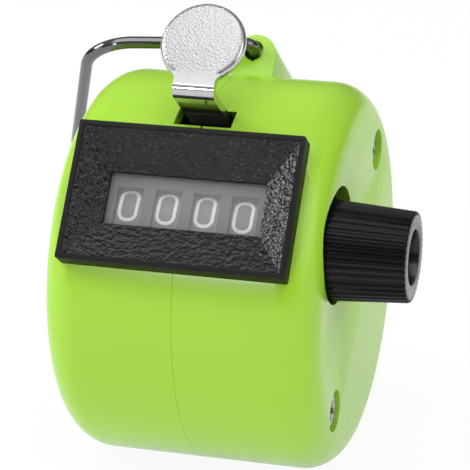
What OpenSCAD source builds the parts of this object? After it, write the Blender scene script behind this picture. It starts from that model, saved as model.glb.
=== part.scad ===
// Hand tally counter: drum case, four number wheels, thumb lever, reset knob and finger ring.
// Millimetres. X runs along the drum axis to the knob, Y to the back, Z up.
// The origin is the middle of the standing flat under the drum.
// Every piece is drawn upright about the drum centre, then leaned back to its standing pose.

/* [Case] */
// Outside diameter of the drum case
drum_d = 50; // [48:0.5:54]
// Width of the drum between its two side faces
drum_w = 34.9; // [34.5:0.1:38]
// Rounding of the drum's two rims
rim_round = 4.9; // [4:0.1:5.2]
// Wall of the case halves
case_wall = 1.8; // [1.6:0.1:2]
// Lean of the number window from upright when the counter stands
lean = 34.9; // [30:0.1:40]
// Depth of the standing flat under the drum
stand_cut = 0.8; // [0.4:0.1:1]
// Depth of the flat on the drum that carries the bezel
front_cut = 1.25; // [1:0.05:1.5]

/* [Case screws] */
// Diameter of the screw shank
screw_d = 2.2; // [2:0.1:2.5]
// Diameter of the screw head
screw_head_d = 4.8; // [4.4:0.1:5]
// Diameter of the recess round each screw head
screw_recess_d = 5.4; // [5.3:0.1:5.6]
// Depth of the recess round the lower screw head
screw_recess_depth = 1.4; // [1.3:0.05:1.5]
// Length of the screw shank
screw_length = 24; // [20:1:28]

/* [Bezel and window] */
// Width of the bezel
bezel_w = 28.6; // [28:0.1:29.5]
// Height of the bezel
bezel_h = 17.8; // [17:0.1:18.5]
// Height of the bezel's middle above the drum axis
bezel_rise = 0.85; // [0.6:0.05:1]
// Thickness of the bezel in front of the case
bezel_t = 2.5; // [2.2:0.1:3]
// Width of the raised lip round the bezel
bezel_lip = 0.65; // [0.5:0.05:0.8]
// Width of the number window
window_w = 19.8; // [19:0.1:20.5]
// Height of the number window
window_h = 6.65; // [6:0.05:7]
// Depth of the sloping recess down to the window
window_depth = 2.3; // [2:0.05:2.6]

/* [Number wheels] */
// Diameter of the number wheels
wheel_d = 16; // [15.4:0.1:16.2]
// Width of each number rim
wheel_w = 3.25; // [3:0.05:3.4]
// Spacing of the wheels along the shaft
wheel_pitch = 4.87; // [4.8:0.01:5]
// Diameter of the wheel shaft
shaft_d = 3; // [2.8:0.1:3.2]
// Radial running clearance of turning pieces
run_gap = 0.05; // [0.02:0.01:0.08]

/* [Thumb lever] */
// Width of the lever plate
lever_w = 5.2; // [4.8:0.1:5.6]
// Thickness of the lever plate
lever_t = 1; // [0.9:0.05:1.05]
// Height of the lever plate above the drum axis
lever_rise = 13.45; // [13.3:0.05:13.5]
// Diameter of the thumb pad
pad_d = 10.7; // [10:0.1:11.2]
// Lean of the thumb pad towards the drum
pad_lean = 3.7; // [2:0.1:8]
// Stroke of the lever
lever_stroke = 4.2; // [3.6:0.1:4.4]

/* [Reset knob] */
// Diameter of the knob at the case
knob_base_d = 12.6; // [12:0.1:12.8]
// Diameter of the knob at its outer end
knob_end_d = 11.2; // [10.8:0.1:11.8]
// Reach of the knob beyond the case side
knob_reach = 9.55; // [8:0.05:11]
// Diameter of the hollow in the knob's outer end
knob_hollow_d = 6.8; // [6:0.1:7.2]
// Diameter of the hole in the case round the knob
knob_hole_d = 14.7; // [14.6:0.1:14.9]
// Number of grip grooves round the knob
knob_grooves = 40; // [30:2:44]

/* [Finger ring] */
// Diameter of the ring wire
wire_d = 1.6; // [1.4:0.1:1.8]
// Width of the ring between wire middles
ring_w = 21.9; // [20:0.1:24]
// Length of the ring between wire middles
ring_l = 33; // [30:0.5:36]
// Bend radius of the ring's outer corners
ring_bend = 5.8; // [5:0.1:7]
// Diameter of the hole through the lug
lug_hole_d = 2.3; // [2.3:0.1:2.6]
// Width of the lug on top of the drum
lug_w = 5.7; // [5.4:0.1:6.2]

/* [Hidden] */
$fn = 64;

// sizes shared by several pieces
eps = 0.01;
big = 80;
drum_r = drum_d/2;
half_w = drum_w/2;
inner_r = drum_r - case_wall;
inner_half = half_w - case_wall;
stand_height = drum_r - stand_cut;
flat_y = -(drum_r - front_cut);
bezel_y = flat_y - bezel_t;
funnel_y = bezel_y + window_depth;
lens_front_y = funnel_y + 0.5;
lens_t = 0.5;
mask_t = 0.3;
lens_back_y = lens_front_y + lens_t;
mask_back_y = lens_back_y + mask_t;
wheel_r = wheel_d/2;
mask_gap = 0.2;
axis_y = mask_back_y + mask_gap + wheel_r;
// the wheel axis and the knob sit a little below the drum axis
axis_z = -0.65;
window_z = 0.78;
lens_margin = 0.85;
lens_w = window_w + 2*lens_margin;
lens_h = window_h + 2*0.75;
seat_gap = 0.05;
bezel_corner = 0.25;
mask_slot_h = 5.1;
spigot_wall = 0.65;
spigot_w = lens_w + 2*spigot_wall;
spigot_h = lens_h + 2*spigot_wall;
opening_gap = 0.12;
cavity_front_y = flat_y + case_wall;

// screws, upper and lower
screw_yz = [[-0.6, 17.4], [-2.4, -18.1]];
boss_r = 3.05;
screw_clear = 0.15;
thread_gap = 0.02;
// the upper screw is sunk a little deeper than the lower
screw_sink = [0.2, 0];
function screw_seat_x(i) = half_w - screw_recess_depth - screw_sink[i];
screw_head_h = 1;

// cross rods of the mechanism frame
rod_r = 1;
rod_gap = 0.02;
plate_low = lever_rise - lever_t/2;
plate_high = lever_rise + lever_t/2;
guide_gap = 0.05;
rod_low_z = plate_low - guide_gap - rod_r;
rod_high_z = plate_high + guide_gap + rod_r;
spring_rod = [4, 3];
tie_rod = [-6, -13.65];
guide_front_y = -17.4;
guide_back_y = -2.3;
guide_top_y = -10;
rod_yz = [[guide_front_y, rod_low_z], [guide_back_y, rod_low_z], [guide_top_y, rod_high_z],
    spring_rod, tie_rod];
socket_r = 2;
socket_x = 13.2;
rod_end = inner_half - 0.1;
frame_x = 11.4;
frame_t = 1;
// corners of the mechanism's side plates, in Y and Z
frame_corners = [[-19.4, 10.4], [-18.4, 12.8], [-11, 16.6], [-8.6, 16.6], [-1, 13.2], [6, 5], [6.2, 1.4],
    [-3.8, -15.05], [-7.4, -15.85], [-17.4, -6.6], [-20, -3], [-20.2, 4]];

// transfer gears between the wheels
gear_teeth = 20;
pinion_teeth = 8;
gear_module = 0.7;
gear_add = 0.45;
gear_ded = 0.65;
gear_pitch_r = gear_module*gear_teeth/2;
pinion_pitch_r = gear_module*pinion_teeth/2;
gear_centres = gear_pitch_r + pinion_pitch_r;
pinion_dir = -45;
pinion_y = axis_y + gear_centres*cos(pinion_dir);
pinion_z = axis_z + gear_centres*sin(pinion_dir);
pinion_shaft_r = 0.8;
gear_w = 0.72;
pinion_w = 1.3;
carry_r = 5.5;
carry_tip_r = 6.2;
ratchet_tip_r = 6.4;
ratchet_root_r = 5.2;
ratchet_w = 0.9;
ratchet_teeth = 10;
units_x = 1.5*wheel_pitch;
tens_x = 0.5*wheel_pitch;
hundreds_x = -0.5*wheel_pitch;
thousands_x = -1.5*wheel_pitch;

// lever bend and pad
bend_r = 0.95;
bend_y = bezel_y - 0.89;
bend_turn = 90 + pad_lean;
bend_end_y = bend_y - bend_r*sin(bend_turn);
bend_end_z = lever_rise + bend_r - bend_r*cos(bend_turn);
pad_up = 5.7;
pad_t = lever_t + 0.1;
pad_bevel = 0.55;
pad_bevel_w = 1;
lever_inner_y = -1;
slot_w = lever_w + 2.16;
slot_low = lever_rise - 2.07;
slot_high = lever_rise + 0.67;
pawl_x = units_x + wheel_w/2 + 0.1;
pawl_w = ratchet_w - 0.2;
pawl_y = -9.5;
pawl_z = 10.9;
pawl_pin_r = 0.6;
pawl_boss_r = 1.1;
pawl_nose_gap = 0.25;
pawl_nose_w = 0.9;
pawl_hook = 1.2;
pawl_arm_drop = 1.8;
arm_front = pawl_y - 4;
arm_back = pawl_y + 3;
ear_l = 2.2;
ear_drop = 1.2;
leaf_t = 0.4;
leaf_w = 4;
leaf_l = 11.75;
leaf_lean = 17.7;
clip_gap = 0.02;
detent_t = 0.35;
detent_l = 11.4;
detent_lean = 60.5;
ear_t = 0.6;
ear_gap = 0.1;

// knob
knob_flange_r = 6.55;
knob_flange_x = inner_half - 0.45;
knob_flange_t = 0.8;
knob_hub_r = 3;
knob_hub_x = frame_x + frame_t + 0.3;
knob_end_x = half_w + knob_reach;
knob_base_x = knob_flange_x + knob_flange_t;
knob_hollow_x = half_w + 2.2;
shaft_end_x = half_w + 1.6;

// finger ring: the place and turn of its hinge corner, upright frame
wire_r = wire_d/2;
ring_at = [0.5, -6.55, 28.8];
ring_turn = [-10.9, -11.5, 21.3];
hinge_bend = 1.8;
lug_front_y = -4.5;
lug_back_y = 8;
lug_round_z = 28;
lug_low_z = 20;
drop_x = -0.2;
drop_z = 28.75;
drop_r = 1.25;
drop_point = 1.8;
drop_depth = 1.6;

// stands the upright drawing on the floor
module stood() {
    translate([0, 0, stand_height]) rotate([-lean, 0, 0]) children();
}

// a cylinder along X between two stations
module rod_x(x0, x1, y, z, r) {
    translate([x0, y, z]) rotate([0, 90, 0]) cylinder(h = x1 - x0, r = r);
}

// a plate along X drawn by a flat outline in Y and Z
module plate_x(x0, x1) {
    translate([x0, 0, 0]) rotate([90, 0, 90]) linear_extrude(height = x1 - x0) children();
}

// a block facing the front, drawn by an outline in X and Z
module block_y(y0, y1) {
    translate([0, y1, 0]) rotate([90, 0, 0]) linear_extrude(height = y1 - y0) children();
}

module round_rect(w, h, r) {
    square([w - 2*r, h], center = true);
    square([w, h - 2*r], center = true);
    for (sx = [-1, 1], sz = [-1, 1])
        translate([sx*(w/2 - r), sz*(h/2 - r)]) circle(r);
}

// half outline of a drum with rounded rims
module drum_outline(r, h, f) {
    translate([0, -h]) square([r - f, 2*h]);
    translate([0, -(h - f)]) square([r, 2*(h - f)]);
    for (s = [-1, 1]) intersection() {
        translate([r - f, s*(h - f)]) circle(f);
        translate([0, -h]) square([r, 2*h]);
    }
}

module drum(r, h, f) {
    rotate([0, 90, 0]) rotate_extrude() drum_outline(r, h, f);
}

module case_outer() {
    difference() {
        drum(drum_r, half_w, rim_round);
        translate([-big/2, flat_y - big, -big/2]) cube([big, big, big]);
    }
    difference() {
        block_y(lug_front_y, lug_back_y) {
            translate([-lug_w/2, lug_low_z]) square([lug_w, lug_round_z - lug_low_z]);
            translate([0, lug_round_z]) circle(lug_w/2);
        }
        ring_place() rotate([-90, 0, 0]) translate([0, 0, -4]) cylinder(h = 26, d = lug_hole_d);
        block_y(lug_front_y - 1, lug_front_y + drop_depth) translate([drop_x, drop_z]) {
            circle(drop_r);
            rotate(45) translate([-drop_r, -drop_r]) square(drop_r);
        }
    }
}

module case_cavity() {
    difference() {
        drum(inner_r, inner_half, rim_round - case_wall);
        translate([-big/2, cavity_front_y - big, -big/2]) cube([big, big, big]);
    }
}

module case_posts() {
    intersection() {
        drum(drum_r - 0.4, half_w - 0.4, rim_round - 0.4);
        union() {
            for (p = screw_yz) rod_x(-half_w, half_w, p[0], p[1], boss_r);
            for (p = rod_yz) {
                rod_x(socket_x, half_w, p[0], p[1], socket_r);
                rod_x(-half_w, -socket_x, p[0], p[1], socket_r);
            }
        }
    }
}

module case_openings() {
    block_y(flat_y - 5, cavity_front_y + 1.5) translate([0, window_z])
        square([spigot_w + 2*opening_gap, spigot_h + 2*opening_gap], center = true);
    block_y(-drum_r - 4, -14) translate([-slot_w/2, slot_low]) square([slot_w, slot_high - slot_low]);
    for (p = rod_yz) rod_x(-inner_half, inner_half, p[0], p[1], rod_r + rod_gap);
}

module case_half(side) {
    difference() {
        stood() difference() {
            intersection() {
                union() {
                    difference() {
                        case_outer();
                        case_cavity();
                    }
                    case_posts();
                }
                translate([side > 0 ? 0 : -big, -big/2, -big/2]) cube(big);
            }
            case_openings();
            children();
        }
        translate([-big/2, -big/2, -big]) cube(big);
    }
}

module left_shell() {
    color([0.6, 0.82, 0.18]) case_half(-1)
        for (i = [0, 1]) rod_x(screw_seat_x(i) - screw_length - 1, 1, screw_yz[i][0], screw_yz[i][1],
            screw_d/2 + thread_gap);
}

module right_shell() {
    color([0.6, 0.82, 0.18]) case_half(1) {
        for (i = [0, 1]) {
            rod_x(-1, half_w + 1, screw_yz[i][0], screw_yz[i][1], screw_d/2 + screw_clear);
            rod_x(screw_seat_x(i), half_w + 1, screw_yz[i][0], screw_yz[i][1], screw_recess_d/2);
        }
        rod_x(inner_half - 3, half_w + 1, axis_y, 0, knob_hole_d/2);
    }
}

module case_screws() {
    color([0.75, 0.76, 0.78]) stood() for (i = [0, 1])
        let (p = screw_yz[i], seat = screw_seat_x(i)) difference() {
            union() {
                rod_x(seat - screw_length, seat + eps, p[0], p[1], screw_d/2);
                rod_x(seat, seat + screw_head_h, p[0], p[1], screw_head_d/2);
            }
            translate([seat + 0.35, p[0], p[1]]) {
                translate([0, -0.35, -1.3]) cube([2, 0.7, 2.6]);
                translate([0, -1.3, -0.35]) cube([2, 2.6, 0.7]);
            }
        }
}

module bezel_funnel() {
    lip_w = bezel_w - 2*bezel_lip;
    lip_h = bezel_h - 2*bezel_lip;
    lip_y = bezel_y + 0.2;
    win_low = window_z - window_h/2;
    win_high = window_z + window_h/2;
    lip_low = bezel_rise - lip_h/2;
    lip_high = bezel_rise + lip_h/2;
    intersection() {
        translate([0, 0, -big/2]) linear_extrude(height = big)
            polygon([[-lip_w/2, lip_y], [lip_w/2, lip_y], [window_w/2, funnel_y], [-window_w/2, funnel_y]]);
        plate_x(-big/2, big/2)
            polygon([[lip_y, lip_low], [lip_y, lip_high], [funnel_y, win_high], [funnel_y, win_low]]);
    }
    block_y(bezel_y - 1, lip_y) translate([0, bezel_rise]) square([lip_w, lip_h], center = true);
    block_y(funnel_y - eps, mask_back_y + 1) translate([0, window_z])
        square([window_w, window_h], center = true);
    block_y(lens_front_y, mask_back_y + 1) translate([0, window_z])
        square([lens_w + 2*seat_gap, lens_h + 2*seat_gap], center = true);
}

module bezel() {
    color([0.08, 0.08, 0.09]) stood() difference() {
        union() {
            block_y(bezel_y, flat_y) translate([0, bezel_rise]) round_rect(bezel_w, bezel_h, bezel_corner);
            block_y(flat_y - eps, mask_back_y) translate([0, window_z])
                square([spigot_w, spigot_h], center = true);
        }
        bezel_funnel();
    }
}

module window_lens() {
    color([0.85, 0.88, 0.9, 0.4]) stood() block_y(lens_front_y, lens_back_y)
        translate([0, window_z]) square([lens_w, lens_h], center = true);
}

module number_mask() {
    slot_x = wheel_w + 0.2;
    color([0.5, 0.52, 0.53]) stood() block_y(lens_back_y, mask_back_y) difference() {
        translate([0, window_z]) square([lens_w, lens_h], center = true);
        for (x = [units_x, tens_x, hundreds_x, thousands_x])
            translate([x - slot_x/2, window_z - window_h/2]) square([slot_x, mask_slot_h]);
    }
}

// side outline of the lever plate, its bend and its upright
module lever_outline() {
    centre_z = lever_rise + bend_r;
    translate([bend_y, plate_low]) square([lever_inner_y - bend_y, lever_t]);
    intersection() {
        translate([bend_y, centre_z]) difference() {
            circle(bend_r + lever_t/2);
            circle(bend_r - lever_t/2);
        }
        translate([bend_y, centre_z]) polygon([[0, 0], [0, -6], [-6, -6], [-6, 0],
            [-6*sin(bend_turn), -6*cos(bend_turn)]]);
    }
    translate([bend_end_y, bend_end_z]) rotate(-pad_lean) translate([-lever_t/2, 0])
        square([lever_t, pad_up]);
}

module thumb_lever() {
    arm_x = pawl_x + pawl_w + ear_gap + ear_t;
    color([0.78, 0.79, 0.8]) stood() difference() {
        union() {
            plate_x(-lever_w/2, lever_w/2) lever_outline();
            translate([0, bend_end_y, bend_end_z]) rotate([-pad_lean, 0, 0])
                translate([0, lever_t/2, pad_up]) rotate([90, 0, 0]) {
                    cylinder(h = pad_t - pad_bevel, r = pad_d/2);
                    translate([0, 0, pad_t - pad_bevel])
                        cylinder(h = pad_bevel, r1 = pad_d/2, r2 = pad_d/2 - pad_bevel_w);
                }
            translate([0, arm_front, plate_low]) cube([arm_x, arm_back - arm_front, lever_t]);
            for (x = [pawl_x - ear_gap - ear_t, pawl_x + pawl_w + ear_gap])
                translate([x, pawl_y - ear_l/2, pawl_z - ear_drop])
                    cube([ear_t, ear_l, plate_low - pawl_z + ear_drop + eps]);
        }
        rod_x(pawl_x - 2, pawl_x + 3, pawl_y, pawl_z, pawl_pin_r + thread_gap);
    }
}

module pawl_pin() {
    pin_reach = ear_gap + ear_t + 0.1;
    color([0.7, 0.7, 0.72]) stood()
        rod_x(pawl_x - pin_reach, pawl_x + pawl_w + pin_reach, pawl_y, pawl_z, pawl_pin_r);
}

module drive_pawl() {
    nose_z = axis_z + ratchet_tip_r + pawl_nose_gap;
    hook_y = axis_y - pawl_hook;
    nose_y = hook_y + pawl_nose_w;
    color([0.62, 0.62, 0.65]) stood() difference() {
        plate_x(pawl_x, pawl_x + pawl_w) {
            translate([pawl_y, pawl_z]) circle(pawl_boss_r);
            polygon([[pawl_y, pawl_z - pawl_boss_r], [pawl_y, pawl_z], [hook_y, pawl_z - pawl_boss_r/2],
                [hook_y, nose_z + pawl_nose_w/2], [nose_y, nose_z],
                [nose_y + pawl_nose_w/2, pawl_z - pawl_arm_drop]]);
        }
        rod_x(pawl_x - 1, pawl_x + 2, pawl_y, pawl_z, pawl_pin_r + run_gap);
    }
}

module return_spring() {
    clip_r = rod_r + clip_gap;
    color([0.66, 0.66, 0.7]) stood() difference() {
        union() {
            rod_x(-leaf_w/2, leaf_w/2, spring_rod[0], spring_rod[1], clip_r + leaf_t);
            translate([-leaf_w/2, spring_rod[0], spring_rod[1]]) rotate([leaf_lean, 0, 0])
                translate([0, -clip_r - leaf_t, 0]) cube([leaf_w, leaf_t, leaf_l]);
        }
        rod_x(-leaf_w, leaf_w, spring_rod[0], spring_rod[1], clip_r);
    }
}

// outline of straight-sided gear teeth, first gap or tooth at a set angle
module tooth_ring(teeth, root_r, tip_r, root_half, tip_half, start) {
    step = 360/teeth;
    polygon([for (i = [0 : teeth - 1]) for (k = [0 : 3])
        let (a = start + i*step + [-root_half, -tip_half, tip_half, root_half][k],
             r = (k == 0 || k == 3) ? root_r : tip_r)
        [r*cos(a), r*sin(a)]]);
}

module gear_outline() {
    tooth_ring(gear_teeth, gear_pitch_r - gear_ded, gear_pitch_r + gear_add, 4.2, 1.5,
        pinion_dir + 180/gear_teeth);
}

module pinion_outline() {
    tooth_ring(pinion_teeth, pinion_pitch_r - gear_ded, pinion_pitch_r + gear_add, 10, 3, pinion_dir + 180);
}

module ratchet_outline() {
    step = 360/ratchet_teeth;
    polygon([for (i = [0 : ratchet_teeth - 1]) for (k = [0 : 1])
        let (a = 90 + i*step + [0, 6][k], r = [ratchet_root_r, ratchet_tip_r][k])
        [r*cos(a), r*sin(a)]]);
}

// a number wheel with its carry gear on the right and its carry disc on the left
module number_wheel(x, geared, carries, ratchet) {
    right_x = x + wheel_w/2;
    left_x = x - wheel_w/2;
    stood() difference() {
        union() {
            rod_x(left_x, right_x, axis_y, axis_z, wheel_r);
            if (geared) plate_x(right_x - eps, right_x + gear_w) translate([axis_y, axis_z]) gear_outline();
            if (carries) {
                rod_x(left_x - gear_w, left_x + eps, axis_y, axis_z, carry_r);
                plate_x(left_x - gear_w, left_x + eps) for (a = [-8, 8])
                    translate([axis_y, axis_z]) rotate(90 + a)
                        translate([0, -0.4]) square([carry_tip_r, 0.8]);
            }
            if (ratchet)
                plate_x(right_x - eps, right_x + ratchet_w) translate([axis_y, axis_z]) ratchet_outline();
        }
        rod_x(left_x - 2, right_x + 2, axis_y, axis_z, shaft_d/2 + run_gap);
    }
}

module units_wheel() {
    color([0.45, 0.47, 0.48]) number_wheel(units_x, false, true, true);
}

module tens_wheel() {
    color([0.45, 0.47, 0.48]) number_wheel(tens_x, true, true, false);
}

module hundreds_wheel() {
    color([0.45, 0.47, 0.48]) number_wheel(hundreds_x, true, true, false);
}

module thousands_wheel() {
    color([0.45, 0.47, 0.48]) number_wheel(thousands_x, true, false, false);
}

module carry_pinion(x) {
    stood() difference() {
        plate_x(x - pinion_w/2, x + pinion_w/2) translate([pinion_y, pinion_z]) pinion_outline();
        rod_x(x - 2, x + 2, pinion_y, pinion_z, pinion_shaft_r + run_gap);
    }
}

module tens_pinion() {
    color([0.86, 0.84, 0.78]) carry_pinion(wheel_pitch);
}

module hundreds_pinion() {
    color([0.86, 0.84, 0.78]) carry_pinion(0);
}

module thousands_pinion() {
    color([0.86, 0.84, 0.78]) carry_pinion(-wheel_pitch);
}

module pinion_shaft() {
    color([0.7, 0.7, 0.72]) stood()
        rod_x(-frame_x - frame_t, frame_x + frame_t, pinion_y, pinion_z, pinion_shaft_r);
}

module wheel_shaft() {
    color([0.7, 0.7, 0.72]) stood() rod_x(-frame_x - frame_t - 0.8, shaft_end_x, axis_y, axis_z, shaft_d/2);
}

module shaft_collars() {
    collar_r = 2.6;
    units_end = units_x + wheel_w/2 + ratchet_w;
    thousands_end = thousands_x - wheel_w/2;
    color([0.72, 0.6, 0.3]) stood() difference() {
        union() {
            rod_x(units_end + 0.07, frame_x - 0.05, axis_y, axis_z, collar_r);
            rod_x(-frame_x + 0.05, thousands_end - 0.07, axis_y, axis_z, collar_r);
            rod_x(-frame_x - frame_t - 0.6, -frame_x - frame_t - 0.05, axis_y, axis_z, collar_r);
        }
        rod_x(-big/2, big/2, axis_y, axis_z, shaft_d/2);
    }
}

module reset_knob() {
    barrel = knob_end_x - knob_base_x;
    taper = atan((knob_base_d - knob_end_d)/2/barrel);
    groove_w = 0.36;
    groove_deep = 0.25;
    groove_start = 0.9;
    color([0.07, 0.07, 0.08]) stood() translate([0, axis_y, axis_z]) difference() {
        union() {
            rod_x(knob_hub_x, knob_flange_x + eps, 0, 0, knob_hub_r);
            rod_x(knob_flange_x, knob_base_x, 0, 0, knob_flange_r);
            translate([knob_base_x - eps, 0, 0]) rotate([0, 90, 0])
                cylinder(h = barrel + eps, r1 = knob_base_d/2, r2 = knob_end_d/2);
        }
        rod_x(knob_hub_x - 1, shaft_end_x, 0, 0, shaft_d/2);
        rod_x(knob_hollow_x, knob_end_x + 1, 0, 0, knob_hollow_d/2);
        for (i = [0 : knob_grooves - 1]) rotate([i*360/knob_grooves, 0, 0])
            translate([knob_base_x + groove_start, 0, knob_base_d/2 - groove_deep - groove_start*tan(taper)])
                rotate([0, taper, 0]) translate([0, -groove_w/2, 0]) cube([barrel + 2, groove_w, 2]);
    }
}

// outline of the mechanism's side plates
module frame_outline() {
    difference() {
        polygon(frame_corners);
        translate([axis_y, axis_z]) circle(shaft_d/2 + run_gap);
        translate([pinion_y, pinion_z]) circle(pinion_shaft_r + rod_gap);
        for (p = rod_yz) translate(p) circle(rod_r + rod_gap);
    }
}

module left_frame() {
    color([0.6, 0.61, 0.63]) stood() plate_x(-frame_x - frame_t, -frame_x) frame_outline();
}

module right_frame() {
    color([0.6, 0.61, 0.63]) stood() plate_x(frame_x, frame_x + frame_t) frame_outline();
}

module cross_rods() {
    color([0.7, 0.7, 0.72]) stood() for (p = rod_yz) rod_x(-rod_end, rod_end, p[0], p[1], rod_r);
}

module detent_spring() {
    clip_r = rod_r + clip_gap;
    color([0.66, 0.66, 0.7]) stood() difference() {
        union() {
            rod_x(pawl_x, pawl_x + pawl_w, tie_rod[0], tie_rod[1], clip_r + detent_t);
            translate([pawl_x, tie_rod[0], tie_rod[1]]) rotate([detent_lean, 0, 0])
                translate([0, -clip_r - detent_t, 0]) cube([pawl_w, detent_t, detent_l]);
        }
        rod_x(pawl_x - 1, pawl_x + 2, tie_rod[0], tie_rod[1], clip_r);
    }
}

// puts a drawing in the ring's own frame: hinge side along Y, ring reaching to negative X
module ring_place() {
    translate(ring_at) rotate(ring_turn) children();
}

module wire_run(from, length, along) {
    translate(from) rotate(along) translate([0, 0, -eps]) cylinder(h = length + 2*eps, r = wire_r);
}

module wire_bend(at, r, start) {
    translate(at) rotate([0, 0, start]) rotate_extrude(angle = 90) translate([r, 0]) circle(wire_r);
}

module finger_ring() {
    hb = hinge_bend;
    ob = ring_bend;
    color([0.75, 0.76, 0.78]) stood() ring_place() {
        wire_run([0, hb, 0], ring_l - 2*hb, [-90, 0, 0]);
        wire_run([-ring_w, ob, 0], ring_l - 2*ob, [-90, 0, 0]);
        wire_run([-ring_w + ob, 0, 0], ring_w - ob - hb, [0, 90, 0]);
        wire_run([-ring_w + ob, ring_l, 0], ring_w - ob - hb, [0, 90, 0]);
        wire_bend([-hb, hb, 0], hb, -90);
        wire_bend([-hb, ring_l - hb, 0], hb, 0);
        wire_bend([-ring_w + ob, ring_l - ob, 0], ob, 90);
        wire_bend([-ring_w + ob, ob, 0], ob, 180);
    }
}

left_shell();
right_shell();
case_screws();
bezel();
window_lens();
number_mask();
thumb_lever();
pawl_pin();
drive_pawl();
return_spring();
units_wheel();
tens_wheel();
hundreds_wheel();
thousands_wheel();
tens_pinion();
hundreds_pinion();
thousands_pinion();
pinion_shaft();
wheel_shaft();
shaft_collars();
reset_knob();
left_frame();
right_frame();
cross_rods();
detent_spring();
finger_ring();
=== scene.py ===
import math

import bpy
from bpy.props import FloatProperty, FloatVectorProperty, IntProperty, PointerProperty
from mathutils import Euler, Matrix, Vector


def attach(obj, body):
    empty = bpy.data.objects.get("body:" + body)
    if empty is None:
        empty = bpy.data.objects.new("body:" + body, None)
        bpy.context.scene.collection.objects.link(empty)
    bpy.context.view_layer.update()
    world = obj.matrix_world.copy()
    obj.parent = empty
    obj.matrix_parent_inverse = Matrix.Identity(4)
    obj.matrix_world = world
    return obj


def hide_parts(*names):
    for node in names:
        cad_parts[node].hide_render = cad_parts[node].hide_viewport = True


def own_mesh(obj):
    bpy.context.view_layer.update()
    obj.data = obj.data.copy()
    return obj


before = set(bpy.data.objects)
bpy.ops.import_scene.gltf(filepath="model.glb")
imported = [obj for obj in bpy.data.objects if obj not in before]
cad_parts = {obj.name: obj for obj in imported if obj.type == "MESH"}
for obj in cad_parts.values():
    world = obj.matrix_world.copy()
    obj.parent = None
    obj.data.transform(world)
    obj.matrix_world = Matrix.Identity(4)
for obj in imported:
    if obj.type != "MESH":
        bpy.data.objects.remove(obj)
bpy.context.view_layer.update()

bl_info = {
    "name": "Hand tally counter",
    "version": (1, 0, 0),
    "blender": (4, 5, 0),
    "location": "View3D > Sidebar > Tally counter",
    "description": "Models the looks of a hand tally counter round its packed solids",
    "category": "Object",
}

MM = 0.001
X, Y = 0, 1
QUARTER = math.radians(90)

# limits for points on a level, for points that are one, and for faces that look along an axis
NEAR = 0.01 * MM
TINY = 0.0001 * MM
FACING = 0.9

# sides of round pieces, from small holes to the drum's rim
SMALL_SIDES = 32
SCREW_SIDES = 48
ROUND_SIDES = 64
BORE_SIDES = 96
WIDE_SIDES = 128
RIM_SIDES = 224

# each screw's place on the right side, and how deep its seat is sunk
SCREWS = ((-0.6 * MM, 17.4 * MM, 1.6 * MM), (-2.4 * MM, -18.1 * MM, 1.4 * MM))

# the bezel's spigot, which reaches past the window on each side, and the front of the lens in it
SPIGOT_SIDE = 1.5 * MM
SPIGOT_RISE = 1.4 * MM
LENS_FRONT = -23.45 * MM

# most values of a noise pattern lie between these
NOISE_LOW = 0.3
NOISE_HIGH = 0.7

# sockets of the Mix node when it mixes colours
MIX_FACTOR = 0
MIX_FIRST = 6
MIX_SECOND = 7
MIX_RESULT = 2


# sizes and colours a user would change

def length(name, text, value):
    """A length property given in millimetres."""
    return FloatProperty(name=name, description=text, default=value * MM, unit="LENGTH", precision=5)


def tint(name, text, value):
    """A colour property."""
    return FloatVectorProperty(name=name, description=text, default=value, size=3, subtype="COLOR",
                               min=0.0, max=1.0)


class TallySizes(bpy.types.PropertyGroup):
    """Sizes of the counter, drawn upright about the drum centre."""

    drum_radius: length("Drum radius", "Outside radius of the case", 25.0)
    half_width: length("Half width", "Half the width of the case", 17.45)
    rim_round: length("Rim rounding", "Rounding of the two rims", 4.9)
    wall: length("Wall", "Wall of the case halves", 1.8)
    front_flat: length("Front flat", "Distance of the front flat from the drum axis", 23.75)
    stand_height: length("Standing height", "Height of the drum axis above the floor", 24.2)
    seam: length("Seam", "Chamfer along the parting line", 0.06)
    bezel_width: length("Bezel width", "Width of the bezel", 28.6)
    bezel_height: length("Bezel height", "Height of the bezel", 17.8)
    bezel_thick: length("Bezel thickness", "Thickness of the bezel", 2.5)
    bezel_rise: length("Bezel rise", "Height of the bezel's middle above the drum axis", 0.85)
    bezel_lip: length("Bezel lip", "Width of the bezel's lip", 0.65)
    window_width: length("Window width", "Width of the number window", 19.8)
    window_height: length("Window height", "Height of the number window", 6.65)
    window_rise: length("Window rise", "Height of the window's middle above the drum axis", 0.78)
    wheel_pitch: length("Wheel pitch", "Spacing of the number wheels", 4.87)
    wheel_radius: length("Wheel radius", "Radius of the number wheels", 8.0)
    wheel_depth: length("Wheel depth", "Distance of the wheel axis in front of the drum axis", 14.45)
    wheel_drop: length("Wheel drop", "Depth of the wheel axis below the drum axis", 0.65)
    digit_height: length("Digit height", "Height of the digits", 4.1)
    digit_width: length("Digit width", "Width of the digits", 2.55)
    digit_stroke: length("Digit stroke", "Stroke of the digits", 0.41)
    lever_width: length("Lever width", "Width of the lever plate", 5.2)
    lever_thick: length("Lever thickness", "Thickness of the lever plate", 1.0)
    lever_rise: length("Lever rise", "Height of the lever plate above the drum axis", 13.45)
    pad_radius: length("Pad radius", "Radius of the thumb pad", 5.35)
    knob_base: length("Knob base", "Radius of the knob at the case", 6.3)
    knob_end: length("Knob end", "Radius of the knob at its outer end", 5.6)
    knob_reach: length("Knob reach", "Reach of the knob beyond the case", 9.55)
    wire_radius: length("Wire radius", "Radius of the ring wire", 0.8)
    ring_width: length("Ring width", "Width of the ring between wire middles", 21.9)
    ring_length: length("Ring length", "Length of the ring between wire middles", 33.0)
    knob_ribs: IntProperty(name="Knob ribs", description="Ribs round the knob", default=40, min=20, max=60)
    lean: FloatProperty(name="Lean", description="Lean of the window from upright",
                        default=math.radians(34.9), subtype="ANGLE")


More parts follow.
